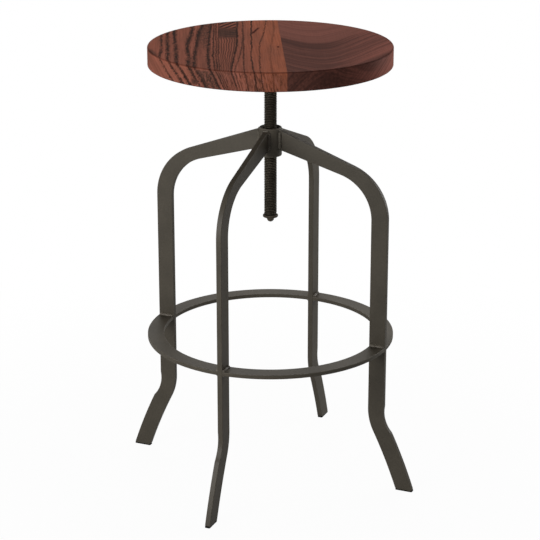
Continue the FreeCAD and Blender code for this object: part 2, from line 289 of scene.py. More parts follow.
def spread(line, count):
    """A polyline's points at even steps of its length."""
    length = np.concatenate([[0], np.cumsum(np.hypot(*np.diff(line, axis=0).T))])
    steps = np.linspace(0, length[-1], count)
    return np.stack([np.interp(steps, length, line[:, 0]), np.interp(steps, length, line[:, 1])], -1)


def foot_turn(radius):
    """The angle at which a foot edge of that radius reaches the level cut."""
    return math.degrees(math.asin((FOOT_CUT - FOOT_CENTRE[1]) / radius))


def outer_foot():
    """The outer edge below the upright: straight, the press's bite, the curved foot; lips softened
    by a running mean over the points."""
    press_centre = np.array([LEG_OUTER - PRESS_BITE + PRESS_RADIUS, PRESS_HEIGHT])
    outer = FOOT_CURVE + LEG_OUTER - LEG_INNER
    upper = 180 - math.degrees(math.acos((PRESS_RADIUS - PRESS_BITE) / PRESS_RADIUS))
    apart = press_centre - FOOT_CENTRE
    reach = math.hypot(*apart)
    cosine = (PRESS_RADIUS ** 2 + reach ** 2 - outer ** 2) / (2 * PRESS_RADIUS * reach)
    lower = math.degrees(math.atan2(-apart[1], -apart[0])) % 360 + math.degrees(math.acos(cosine))
    bite = sweep(press_centre, PRESS_RADIUS, upper, lower, 40)
    start = bite[-1] - FOOT_CENTRE
    foot = sweep(FOOT_CENTRE, outer, math.degrees(math.atan2(start[1], start[0])), foot_turn(outer), 40)
    line = spread(np.concatenate([[[LEG_OUTER, UPRIGHT_FOOT]], bite, foot[1:]]), 360)
    kernel = np.ones(5) / 5
    ends = np.pad(line, ((2, 2), (0, 0)), mode="reflect", reflect_type="odd")
    return np.stack([np.convolve(column, kernel, "valid") for column in ends.T], -1)


def inner_foot():
    """The inner edge below the upright: straight, the kick's arc, the curved foot."""
    kick = sweep(KICK_CENTRE, KICK_INNER, 180, 180 + KICK_ANGLE, 40)
    foot = sweep(FOOT_CENTRE, FOOT_CURVE, KICK_ANGLE, foot_turn(FOOT_CURVE), 40)
    return np.concatenate([[[LEG_INNER, UPRIGHT_FOOT]], kick, foot[1:]])


def bar_section(width, thickness, rounding):
    """A rectangle with rounded corners, as (rows, points, 2), for one width or many; with the share
    by which each point lies on a rounded corner."""
    steps = np.radians(np.linspace(0, 90, 5))
    corner = np.concatenate([[[1.0, -0.4]], np.stack([np.cos(steps), np.sin(steps)], -1), [[-0.4, 1.0]]])
    signs = np.array([[1, 1], [-1, 1], [-1, -1], [1, -1]])
    ordered = np.stack([corner, corner[::-1], corner, corner[::-1]])
    half = np.stack([np.atleast_1d(width) / 2, np.full(np.size(width), thickness / 2)], -1) - rounding
    points = signs[:, None] * (half[:, None, None] + rounding * ordered)
    share = np.concatenate([[0], np.sin(2 * steps), [0]])
    edge = np.stack([share, share[::-1], share, share[::-1]]).ravel()
    return points.reshape(len(half), -1, 2), edge


def leg_surface():
    """A bar section carried down a ladder of rungs between the outer and inner edges, in the plane
    of +X; the first rung follows the hub's round, and the last ones draw in round the foot's corners."""
    outer_root, outer_bend = bend_points(LEG_OUTER, ARM_TOP, ARM_TOP_SLOPE, BEND_OUTER)
    inner_root, inner_bend = bend_points(LEG_INNER, ARM_UNDERSIDE, ARM_LOWER_SLOPE, BEND_INNER)
    share = np.linspace(0, 1, 16)[:-1, None]
    upright = np.linspace(0, 1, 24)[1:-1, None]
    below_outer, below_inner = spread(outer_foot(), 130), spread(inner_foot(), 130)
    outer = np.concatenate([outer_root + share * (outer_bend[0] - outer_root), outer_bend,
                            outer_bend[-1] + upright * (below_outer[0] - outer_bend[-1]), below_outer])
    inner = np.concatenate([inner_root + share * (inner_bend[0] - inner_root), inner_bend,
                            inner_bend[-1] + upright * (below_inner[0] - inner_bend[-1]), below_inner])
    turn = np.radians(90 * np.clip((FOOT_CORNER - (outer[:, 1] - FOOT_CUT)) / FOOT_CORNER, 0, 1))
    draw_in = FOOT_CORNER * (1 - np.cos(turn))
    rung = outer - inner
    width = np.hypot(*rung.T)
    way = rung / width[:, None]
    section, edge = bar_section(width - 2 * draw_in, 2 * BAR_HALF_THICKNESS, BAR_EDGE_ROUND)
    middle = (outer + inner) / 2
    across = section[..., 1]
    place = middle[:, None] + section[..., :1] * way[:, None]
    reach = place[..., 0].copy()
    reach[0] = np.sqrt(HUB_RADIUS ** 2 - across[0] ** 2) - COPE_SINK
    return np.stack([reach, across, place[..., 1]], -1), edge


def swung(points, degrees):
    """Points turned about the stool's upright axis."""
    angle = math.radians(degrees)
    turn = np.array([[math.cos(angle), -math.sin(angle), 0],
                     [math.sin(angle), math.cos(angle), 0], [0, 0, 1]])
    return points @ turn.T


leg_points, leg_edge = leg_surface()
for corner, degrees in LEG_ANGLES.items():
    leg = skin("leg_" + corner + "_bar", swung(leg_points, degrees)[None], loop_columns=True, capped=True,
               edge=leg_edge, sharp=40)
    fit(leg, frame_coat, "frame_coat", "frame", "leg_" + corner)

# Hub welds: upright beads laid in the corners between each arm and the hub, and a small one across
# each arm's top, left as they cooled, with ripples and rounded ends, and coated with the rest. Their
# ripple crests are painted paler as highlight, and the beads across the tops are painted lighter as
# highlight.
HUB_BEAD_RADIUS = 0.0030
HUB_BEAD_INSET = 0.0012
HUB_BEAD_TOP = ARM_TOP - HUB_BEAD_INSET
HUB_BEAD_FOOT = ARM_UNDERSIDE + HUB_BEAD_INSET
HUB_TOP_BEAD_RADIUS = 0.0018
HUB_TOP_BEAD_SINK = 0.0002
HUB_TOP_BEAD_REACH = 0.0006
RIPPLE_PITCH = 0.0021
RIPPLE_HEIGHT = 0.07
BEAD_SIDES = 20


def bead(start, end, radius, phase):
    """A tube round a straight run, as thick as a bead with rounded ends whose thickness is stepped
    by ripples, each rising slowly and falling fast, and swelling a little along the run."""
    run = end - start
    length = np.linalg.norm(run)
    way = run / length
    side = np.cross(way, [0.36, 0.48, 0.8])
    side /= np.linalg.norm(side)
    other = np.cross(way, side)
    turn = np.linspace(0, np.pi, int(8 * length / RIPPLE_PITCH))
    along = length * (1 - np.cos(turn)) / 2
    wave = along / RIPPLE_PITCH + phase
    ripple = RIPPLE_HEIGHT * np.sin(2 * np.pi * wave + 0.6 * np.sin(2 * np.pi * wave))
    swell = 0.11 * np.sin(2 * np.pi * (0.37 * wave / 2 + phase))
    ends = np.clip(np.minimum(along, length - along) / radius, 0, 1)
    thick = radius * np.sqrt(1 - (1 - ends) ** 2) * (1 + ripple + swell)
    angle = np.linspace(0, 2 * np.pi, BEAD_SIDES, endpoint=False)
    round_way = np.cos(angle)[:, None] * side + np.sin(angle)[:, None] * other
    crest = np.clip(ripple / RIPPLE_HEIGHT, 0, 1)[:, None] * np.ones(BEAD_SIDES)
    return start + along[:, None, None] * way + thick[:, None, None] * round_way, crest


def beads(name, runs):
    """Many beads as one piece. A run gives a bead's start, end, radius and phase, and its leg's angle."""
    laid = [bead(*run[:4]) for run in runs]
    points = [swung(tube, run[4]) for (tube, _), run in zip(laid, runs)]
    return skin(name, np.stack(points), loop_columns=True, edge=np.stack([crest for _, crest in laid]))


# Weld coat: a lighter brown with a far paler edge colour on the ripple crests, both painted highlight.
weld_highlight_coat = coat_material("weld_highlight_coat", (0.078, 0.066, 0.050, 1.0), (0.230, 0.205, 0.170, 1.0), 0.4, 0.5)
upright_runs, top_runs = [], []
for step, degrees in enumerate(LEG_ANGLES.values()):
    for offset in (-BAR_HALF_THICKNESS, BAR_HALF_THICKNESS):
        reach = math.sqrt(HUB_RADIUS ** 2 - offset ** 2)
        foot = np.array([reach, offset, HUB_BEAD_FOOT])
        top = np.array([reach, offset, HUB_BEAD_TOP])
        upright_runs.append((foot, top, HUB_BEAD_RADIUS, 0.23 * step + 40 * offset, degrees))
    left = np.array([HUB_RADIUS - HUB_TOP_BEAD_SINK, -BAR_HALF_THICKNESS - HUB_TOP_BEAD_REACH, ARM_TOP])
    right = np.array([HUB_RADIUS - HUB_TOP_BEAD_SINK, BAR_HALF_THICKNESS + HUB_TOP_BEAD_REACH, ARM_TOP])
    top_runs.append((left, right, HUB_TOP_BEAD_RADIUS, 0.4 * step, degrees))
# Upright beads: painted highlight on the ripple crests, from the hub coat's pale edge colour.
fit(beads("hub_weld_beads", upright_runs), hub_highlight_coat, "frame_coat", "frame", "hub_welds")
# Beads across the tops: painted highlight, lighter all over and palest on the crests.
fit(beads("hub_weld_tops", top_runs), weld_highlight_coat, "frame_coat", "frame", "hub_welds")

# Foot ring: four arcs of flat steel bar, rolled the flat way and butted between the legs,
# flush with their outer edges.
RING_WIDTH = 0.0245
RING_THICKNESS = 0.006
RING_TOP = 0.2264
RING_SIDES = {"back": 90, "left": 180, "front": 270, "right": 0}


def ring_surface(middle):
    """A bar section carried round an eighth of a turn each way from its middle angle, each of its
    points ending on the side of a leg, which is half a bar's thickness off the leg's own plane."""
    section, edge = bar_section(RING_WIDTH, RING_THICKNESS, BAR_EDGE_ROUND)
    radius = LEG_OUTER - RING_WIDTH / 2 + section[0, :, 0]
    height = RING_TOP - RING_THICKNESS / 2 + section[0, :, 1]
    half = np.pi / 4 - np.arcsin(BAR_HALF_THICKNESS / radius)
    angle = math.radians(middle) + np.linspace(-1, 1, 64)[:, None] * half
    return np.stack([radius * np.cos(angle), radius * np.sin(angle),
                     np.broadcast_to(height, angle.shape)], -1), edge


for side, middle in RING_SIDES.items():
    ring_points, ring_edge = ring_surface(middle)
    ring = skin("foot_ring_" + side + "_bar", ring_points[None], loop_columns=True, capped=True,
                edge=ring_edge, sharp=40)
    fit(ring, frame_coat, "frame_coat", "frame", "foot_ring_" + side)

# Ring welds: a bead in each corner above and below the butt joint of ring and leg,
# the upper ones fatter, rippled as they were laid. Their coat is painted lighter, palest on the crests, as
# highlight.
RING_BEAD_UPPER = 0.0031
RING_BEAD_LOWER = 0.0023
RING_BEAD_INSET = 0.0008
ring_runs = []
for step, degrees in enumerate(LEG_ANGLES.values()):
    for offset in (-BAR_HALF_THICKNESS, BAR_HALF_THICKNESS):
        for height, radius in ((RING_TOP, RING_BEAD_UPPER), (RING_TOP - RING_THICKNESS, RING_BEAD_LOWER)):
            inner = np.array([LEG_OUTER - RING_WIDTH + RING_BEAD_INSET, offset, height])
            outer = np.array([LEG_OUTER - RING_BEAD_INSET, offset, height])
            ring_runs.append((inner, outer, radius, 0.31 * step + 55 * offset, degrees))
# Ring beads: painted highlight from the weld coat, palest on the ripple crests.
fit(beads("ring_weld_beads", ring_runs), weld_highlight_coat, "frame_coat", "frame", "ring_welds")

# Glides: thin black moulded pads stuck under the level-cut feet, with rounded corners and
# a softened lower edge.
GLIDE_INNER = 0.2068
GLIDE_OUTER = 0.2333
GLIDE_CORNER = 0.0014
GLIDE_LOWER_ROUND = 0.0003


def glide_surface():
    """A rectangle with rounded corners, stacked from the floor up, drawn in by a quarter round at
    the floor and closed to a point above and below."""
    steps = np.radians(np.linspace(0, 90, 5))
    heights = np.concatenate([[0], GLIDE_LOWER_ROUND * (1 - np.cos(steps)), [FOOT_CUT, FOOT_CUT]])
    draw_in = np.concatenate([[0], GLIDE_LOWER_ROUND * (1 - np.sin(steps)), [0, 0]])
    shrink = np.array([0] + [1] * 6 + [0])[:, None]
    outline, _ = bar_section(GLIDE_OUTER - GLIDE_INNER, 2 * BAR_HALF_THICKNESS, GLIDE_CORNER)
    half = np.array([(GLIDE_OUTER - GLIDE_INNER) / 2, BAR_HALF_THICKNESS])
    scale = shrink * (1 - draw_in[:, None] / half)
    flat = outline[0] * scale[:, None]
    return np.stack([flat[..., 0] + (GLIDE_OUTER + GLIDE_INNER) / 2, flat[..., 1],
                     np.broadcast_to(heights[:, None], flat.shape[:2])], -1)


def glide_material():
    """Black moulded plastic: matt, faintly grained, scuffed grey in places."""
    material, tree, shader = new_material("glide_plastic")
    place = add_node(tree, "ShaderNodeTexCoord").outputs["Object"]
    scuff = ramp(tree, noise(tree, place, 260.0, 4.0), 0.45, 0.7)
    colour = tint(tree, scuff, (0.004, 0.004, 0.004, 1), (0.012, 0.012, 0.012, 1))
    tree.links.new(colour, shader.inputs["Base Color"])
    tree.links.new(ramp(tree, scuff, 0, 1, 0.55, 0.75), shader.inputs["Roughness"])
    clear_sheen(shader, 0.02, 0.5)
    grain = add_node(tree, "ShaderNodeBump", {"Height": noise(tree, place, 1800.0), "Strength": 0.2,
                                              "Distance": 0.0001})
    tree.links.new(grain.outputs["Normal"], shader.inputs["Normal"])
    return material


glide_plastic = glide_material()
for corner, degrees in LEG_ANGLES.items():
    glide = skin("foot_glide_" + corner + "_pad", swung(glide_surface(), degrees)[None], loop_columns=True)
    fit(glide, glide_plastic, "glide_plastic", "frame", "foot_glide_" + corner)

# Bush: the threaded steel sleeve pressed into the hub a little below its mouth, chamfered
# where the spindle enters.
BUSH_TOP = 0.5400
BUSH_FOOT = 0.5060
BUSH_BORE = 0.00955
BUSH_CHAMFER = 0.0008
# Spindle coat: its paler edge colour is painted light where a piece marks its edges, on the bush's top
# ring, the washer's rims and the nut's dome.
spindle_coat = coat_material("spindle_coat", (0.031, 0.026, 0.019, 1), (0.125, 0.105, 0.080, 1), 0.5, 0.12)
bush_profile = np.array([
    [HUB_BORE_RADIUS, BUSH_FOOT], [HUB_BORE_RADIUS, BUSH_TOP], [BUSH_BORE + BUSH_CHAMFER, BUSH_TOP],
    [BUSH_BORE, BUSH_TOP - BUSH_CHAMFER], [BUSH_BORE, BUSH_FOOT + BUSH_CHAMFER],
    [BUSH_BORE + BUSH_CHAMFER, BUSH_FOOT]])
# Painted light: the bush's top ring and chamfer are marked paler, though they lie in the hub mouth's shade.
bush_edge = np.array([0, 1, 1, 0, 0, 0])[:, None]
bush = skin("hub_nut_sleeve", turned(bush_profile), loop_rows=True, loop_columns=True,
            edge=bush_edge, sharp=30)
fit(bush, spindle_coat, "spindle_coat", "frame", "hub_nut")

# Spindle: a steel screw with a coarse rolled thread of ten turns to the inch, right-handed, run out
# at both ends. Its foot is turned down to a stub for the stop.
SPINDLE_TOP = 0.6333
SPINDLE_FOOT = 0.4101
THREAD_LEAD = 0.00254
CREST_RADIUS = 0.0095
ROOT_RADIUS = 0.0080
END_RADIUS = 0.0089
TOP_RUN_OUT = 0.001
SPINDLE_CHAMFER = 0.0008
SHOULDER_RADIUS = 0.0080
STUB_RADIUS = 0.003
STUB_FOOT = 0.4011
STUB_CHAMFER = 0.0004


def thread_surface():
    """A screw: each row is a helix at one phase of the thread's profile (root, flank, crest, flank),
    so rows follow the ridge. Heights are held between the two ends, where the depth runs out."""
    phase = np.array([0.0, 0.08, 0.13, 0.42, 0.47, 0.53, 0.58, 0.87, 0.92])
    level = np.array([0.0, 0.02, 0.10, 0.90, 0.98, 0.98, 0.90, 0.10, 0.02])
    turns = int((SPINDLE_TOP - SPINDLE_FOOT) / THREAD_LEAD) + 3
    rise = (np.arange(-1, turns - 1)[:, None] + phase).ravel()[:, None]
    angle = np.linspace(0, 2 * np.pi, 73)
    low, high = SPINDLE_FOOT + SPINDLE_CHAMFER, SPINDLE_TOP
    height = np.clip(SPINDLE_FOOT + THREAD_LEAD * (rise + angle / (2 * np.pi)), low, high)
    run_out = np.clip((height - low) / (0.6 * THREAD_LEAD), 0, 1)
    run_out = run_out * np.clip((high - height) / TOP_RUN_OUT, 0, 1)
    ridge = np.tile(level, turns)[:, None]
    full = ROOT_RADIUS + (CREST_RADIUS - ROOT_RADIUS) * ridge
    radius = END_RADIUS + run_out * (full - END_RADIUS)
    # Crest marks, for the painted highlight along the thread's crests.
    crest = np.where(ridge > 0.9, 1.0, 0.0) * run_out
    return np.stack([radius * np.cos(angle), radius * np.sin(angle), height], -1), crest


# Thread coat: a pale crest colour paints highlight along the thread's crests, and a darker colour paints
# shade over the rest of the thread, so the turns show as stripes.
thread_coat = coat_material("thread_coat", (0.019, 0.016, 0.0115, 1), (0.290, 0.245, 0.180, 1), 0.5, 0.12)
thread_points, thread_edge = thread_surface()
spindle = skin("spindle_screw", thread_points[None], edge=thread_edge)
fit(spindle, thread_coat, "spindle_coat", "seat", "spindle")
stub_profile = np.array([
    [0, STUB_FOOT], [STUB_RADIUS - STUB_CHAMFER, STUB_FOOT], [STUB_RADIUS, STUB_FOOT + STUB_CHAMFER],
    [STUB_RADIUS, SPINDLE_FOOT], [SHOULDER_RADIUS, SPINDLE_FOOT],
    [END_RADIUS, SPINDLE_FOOT + SPINDLE_CHAMFER], [0, SPINDLE_FOOT + SPINDLE_CHAMFER]])
stub = skin("spindle_stub", turned(stub_profile, 72), loop_columns=True, sharp=30)
fit(stub, spindle_coat, "spindle_coat", "seat", "spindle")

# Stop washer: a thick steel washer, turned with well rounded rims. It sits loose on the spindle's
# stub, and the domed nut holds it up.
WASHER_TOP = 0.41005
WASHER_FOOT = 0.40605
WASHER_RADIUS = 0.0114
WASHER_BORE = 0.00305
WASHER_ROUND = 0.0018
washer_profile = np.concatenate([
    sweep((WASHER_RADIUS - WASHER_ROUND, WASHER_FOOT + WASHER_ROUND), WASHER_ROUND, -90, 0),
    sweep((WASHER_RADIUS - WASHER_ROUND, WASHER_TOP - WASHER_ROUND), WASHER_ROUND, 0, 90),
    np.array([[WASHER_BORE, WASHER_TOP], [WASHER_BORE, WASHER_FOOT]])])
# Painted highlight: the washer's rounded rims are marked paler.
washer_edge = np.concatenate([rounded, rounded, [0, 0]])[:, None]
washer = skin("stop_washer_disc", turned(washer_profile), loop_rows=True, loop_columns=True,
              edge=washer_edge, sharp=40)
fit(washer, spindle_coat, "spindle_coat", "stop", "stop_washer")

# Domed nut: closes the stub and holds the washer up, a steel hexagon with its corners
# chamfered and a round cap.
NUT_TOP = 0.4060
NUT_FLATS = 0.011
NUT_HEX_HEIGHT = 0.0020
NUT_DOME_HEIGHT = 0.0054
NUT_CORNER_CHAMFER = 0.0004


def nut_surface():
    """Going down: the hexagon's radius at each angle, held inside a round that is narrower at the
    hexagon's two ends, then half an ellipse for the cap."""
    angle = np.linspace(0, 2 * np.pi, 72, endpoint=False)
    sector = np.mod(angle + np.pi / 6, np.pi / 3) - np.pi / 6
    hexagon = NUT_FLATS / 2 / np.cos(sector)
    ways = np.array([0.0, NUT_CORNER_CHAMFER, NUT_HEX_HEIGHT - NUT_CORNER_CHAMFER, NUT_HEX_HEIGHT])
    limit = NUT_FLATS / 2 * np.array([0.99, 1.16, 1.16, 0.99])
    wall = np.minimum(hexagon[None], limit[:, None])
    cap = np.radians(np.linspace(0, 90, 14))[:, None]
    dome = 0.985 * NUT_FLATS / 2 * np.cos(cap) * np.ones_like(angle)
    radius = np.concatenate([np.zeros((1, 72)), wall, dome])
    depth = np.concatenate([[0.0], ways, NUT_HEX_HEIGHT + NUT_DOME_HEIGHT * np.sin(cap[:, 0])])[:, None]
    height = np.broadcast_to(NUT_TOP - depth, radius.shape)
    return np.stack([radius * np.cos(angle), radius * np.sin(angle), height], -1)


# Painted highlight: the nut's dome is marked paler.
nut_edge = np.concatenate([np.zeros(5), np.full(14, 0.6)])[:, None]
nut = skin("stop_nut_dome", nut_surface()[None], loop_columns=True, edge=nut_edge, sharp=28)
fit(nut, spindle_coat, "spindle_coat", "seat", "stop_nut")

# Seat plate: a round steel plate, sawn and edge-ground, coated with the frame's brown. The spindle
# is welded to it from below by one bead all round.
PLATE_RADIUS = 0.075
PLATE_TOP = 0.6383
PLATE_FOOT = 0.6333
PLATE_EDGE_ROUND = 0.0008
WELD_RADIUS = 0.00312
WELD_SINK = 0.001
plate_profile = np.concatenate([
    [[0, PLATE_FOOT]],
    sweep((PLATE_RADIUS - PLATE_EDGE_ROUND, PLATE_FOOT + PLATE_EDGE_ROUND), PLATE_EDGE_ROUND, -90, 0),
    [[PLATE_RADIUS, PLATE_TOP], [0, PLATE_TOP]]])
plate = skin("seat_plate_disc", turned(plate_profile, 160), loop_columns=True, sharp=40)
fit(plate, frame_coat, "frame_coat", "seat", "seat_plate")


def ring_bead():
    """A tube bent round the spindle where it meets the plate, its thickness stepped by ripples."""
    around = np.linspace(0, 2 * np.pi, 288, endpoint=False)[:, None]
    section = np.linspace(0, 2 * np.pi, BEAD_SIDES, endpoint=False)
    wave = 31 * around + 0.5 * np.sin(3 * around)
    thick = WELD_RADIUS * (1 + 0.06 * np.sin(wave + 0.6 * np.sin(wave)) + 0.05 * np.sin(2 * around + 1))
    radius = CREST_RADIUS + thick * np.cos(section)
    height = PLATE_FOOT + thick * np.sin(section)
    height = np.minimum(height, PLATE_FOOT + WELD_SINK)
    return np.stack([radius * np.cos(around), radius * np.sin(around), height], -1)


spindle_weld = skin("spindle_weld_bead", ring_bead()[None], loop_rows=True, loop_columns=True)
fit(spindle_weld, frame_coat, "frame_coat", "seat")

# Seat boards: two planks of reddish hardwood, glued edge to edge a little off centre, turned to one
# round and eased at the rim; stained red brown and finished with satin lacquer.
SEAT_RADIUS = 0.1778
SEAT_TOP = 0.6658
SEAT_FOOT = 0.6383
SEAT_TOP_ROUND = 0.0024
SEAT_FOOT_ROUND = 0.0012
JOIN_ANGLE = 70.2
JOIN_OFFSET = 0.0166
STREAK_SPAN = (-190.0, 30.0)
SMOKE_LEFT = (-110, -109.5, -107, -103, -94)
SMOKE_RIGHT = (-87, -90.3, -89, -87, -82.5)
BURL_LEFT = (-74, -75.5, -75, -74, -72.5)
BURL_RIGHT = (-60.3, -54.8, -48.8, -46.5, -45)
STREAKS = (
    ((-166, -159.5, -157.2, -159, -160), 2.4, 0.9), ((-144, -146.8, -148.2, -149.6, -151), 3.2, 0.95),
    ((-134, -134.5, -137.3, -140, -142), 4.0, 0.95), ((-121, -117.5, -119.5, -114, -111), 4.4, 0.95),
    (SMOKE_LEFT, 4.0, 0.92), (SMOKE_RIGHT, 3.2, 0.92), ((-80, -83, -82.2, -81.3, -79.8), 1.8, 0.88),
    ((-77, -79, -78.2, -78, -76), 1.5, 0.8), (BURL_LEFT, 1.5, 0.8), (BURL_RIGHT, 2.2, 0.92),
    ((-56.4, -47.6, -41, -38, -37), 1.6, 0.7), ((-42, -41, -39, -37.3, -37), 1.7, 0.75),
    ((-28.5, -29.9, -27.3, -25.6, -22.5), 1.7, 0.88), ((-19.5, -18.5, -15.5, -6.5, -1), 1.4, 0.75),
    ((-3.4, -3.2, 1.2, 8, 10), 2.2, 0.35))


def board_surface(side):
    """A round cut off by the join's line, as an outline of arc and chord, stacked over a profile:
    the underside from its middle out, the eased lower rim, the side, the rounded upper rim and the
    top back to its middle. Side is -1 for the board left of the join and 1 for the right one."""
    lower = sweep((SEAT_FOOT_ROUND, SEAT_FOOT + SEAT_FOOT_ROUND), SEAT_FOOT_ROUND, 270, 180, 5)
    upper = sweep((SEAT_TOP_ROUND, SEAT_TOP - SEAT_TOP_ROUND), SEAT_TOP_ROUND, 180, 90, 9)
    rim = np.concatenate([lower, upper])
    inset = np.concatenate([np.full(3, lower[0, 0]), rim[:, 0], np.full(3, upper[-1, 0])])
    height = np.concatenate([np.full(3, SEAT_FOOT), rim[:, 1], np.full(3, SEAT_TOP)])
    spread_out = np.concatenate([[0, 0.6, 0.985], np.ones(len(rim)), [0.985, 0.6, 0]])
    radius = (SEAT_RADIUS - inset)[:, None]
    opening = np.arccos(JOIN_OFFSET / radius)
    share = np.linspace(0, 1, 181)
    if side < 0:
        angle = opening + share * (2 * np.pi - 2 * opening)
    else:
        angle = -opening + share * 2 * opening
    chord = np.linspace(1, -1, 61)[1:-1] * radius * np.sin(angle[:, -1:])
    across = np.concatenate([radius * np.cos(angle), np.full(chord.shape, JOIN_OFFSET)], 1)
    along = np.concatenate([radius * np.sin(angle), chord], 1)
    middle = JOIN_OFFSET + side * 0.09
    across = middle + spread_out[:, None] * (across - middle)
    along = spread_out[:, None] * along
    rim_edge = np.concatenate([np.zeros(3), np.sin(np.linspace(0, np.pi, len(lower))),
                               np.sin(np.linspace(0, np.pi, len(upper))), np.zeros(3)])
    join = math.radians(JOIN_ANGLE)
    return np.stack([across * math.sin(join) + along * math.cos(join),
                     along * math.sin(join) - across * math.cos(join),
                     np.broadcast_to(height[:, None], across.shape)], -1), rim_edge[:, None]


def board_place(tree):
    """Sockets, in millimetres, for the distance across the join to the right, along it to the back,
    and below the top."""
    place = add_node(tree, "ShaderNodeTexCoord").outputs["Object"]
    turned_place = add_node(tree, "ShaderNodeMapping", {
        "Vector": place, "Rotation": (0, 0, math.radians(90 - JOIN_ANGLE)),
        "Scale": (1000, 1000, 1000)}).outputs[0]
    split = add_node(tree, "ShaderNodeSeparateXYZ", {0: turned_place})
    return split.outputs[0], split.outputs[1], maths(tree, "SUBTRACT", 1000 * SEAT_TOP, split.outputs[2])


def stretched(tree, across, along, depth, fine, long):
    """A vector for noise that is fine across the grain and long along it."""
    return add_node(tree, "ShaderNodeCombineXYZ", {
        0: times(tree, across, fine), 1: times(tree, along, long),
        2: times(tree, depth, fine)}).outputs[0]


def lacquer_group():
    """Fine hairs and open pores along the grain under satin lacquer, which sinks a little into them."""
    group, taken, given = new_group(
        "lacquered_grain",
        [("Color", "NodeSocketColor"), ("Across", "NodeSocketFloat"), ("Along", "NodeSocketFloat"),
         ("Depth", "NodeSocketFloat"), ("Hairs", "NodeSocketFloat"), ("Pores", "NodeSocketFloat")],
        [("Color", "NodeSocketColor"), ("Roughness", "NodeSocketFloat"), ("Normal", "NodeSocketVector")])
    across, along, depth = (taken.outputs[label] for label in ("Across", "Along", "Depth"))
    pore = noise(group, stretched(group, across, along, depth, 1.6, 0.07), 1.0, 2.0)
    hair = noise(group, stretched(group, across, along, depth, 0.42, 0.009), 1.0, 3.0, 0.6)
    pit = ramp(group, pore, 0.54, 0.7)
    streak = ramp(group, hair, 0.3, 0.7, -0.14, 0.12)
    tone = maths(group, "MULTIPLY_ADD", streak, taken.outputs["Hairs"], 1.0)
    shade = maths(group, "SUBTRACT", tone, times(group, pit, taken.outputs["Pores"]))
    grey = add_node(group, "ShaderNodeCombineColor", {0: shade, 1: shade, 2: shade}).outputs[0]
    group.links.new(tint(group, 1.0, taken.outputs["Color"], grey, "MULTIPLY"), given.inputs["Color"])
    group.links.new(ramp(group, pit, 0, 1, 0.46, 0.62), given.inputs["Roughness"])
    bump = add_node(group, "ShaderNodeBump", {"Height": times(group, pit, -1.0),
                                              "Strength": 0.1, "Distance": 0.0002})
    group.links.new(bump.outputs["Normal"], given.inputs["Normal"])
    return group


def finish_board(tree, shader, colour, across, along, depth, hairs, pores):
    """The lacquered grain over a board's own colour, a shade deeper on the rounded rim."""
    edge = add_node(tree, "ShaderNodeAttribute", attribute_name="edge").outputs["Fac"]
    rim = tint(tree, times(tree, edge, 0.5), colour, (0.035, 0.008, 0.006, 1))
    effect = add_node(tree, "ShaderNodeGroup", node_tree=lacquered_grain)
    for label, socket in (("Color", rim), ("Across", across), ("Along", along), ("Depth", depth)):
        tree.links.new(socket, effect.inputs[label])
    effect.inputs["Hairs"].default_value = hairs
    effect.inputs["Pores"].default_value = pores
    take_over(tree, shader, effect)
    clear_sheen(shader, 0.03, 0.35)


def streak_line(tree, reach, places):
    """Where a streak lies across the board, as a smooth curve through its places at even steps from
    the front rim to the back one. Reach and result are shares of STREAK_SPAN."""
    curve = add_node(tree, "ShaderNodeFloatCurve", {1: reach})
    points = curve.mapping.curves[0].points
    low, high = STREAK_SPAN
    while len(points) < len(places):
        points.new(0.5, 0.5)
    for step, place in enumerate(places):
        points[step].location = (step / (len(places) - 1), (place - low) / (high - low))
    curve.mapping.update()
    return curve.outputs[0]


def strip_share(tree, share, reach, first, second):
    """How far a place lies from one streak line to another, from nothing to one."""
    start, end = streak_line(tree, reach, first), streak_line(tree, reach, second)
    return maths(tree, "DIVIDE", maths(tree, "SUBTRACT", share, start), maths(tree, "SUBTRACT", end, start))


def between(tree, value, low, high, soft):
    """One inside a range, falling smoothly to nothing at its ends."""
    return times(tree, ramp(tree, value, low - soft, low + soft),
                 ramp(tree, value, high - soft, high + soft, 1.0, 0.0))


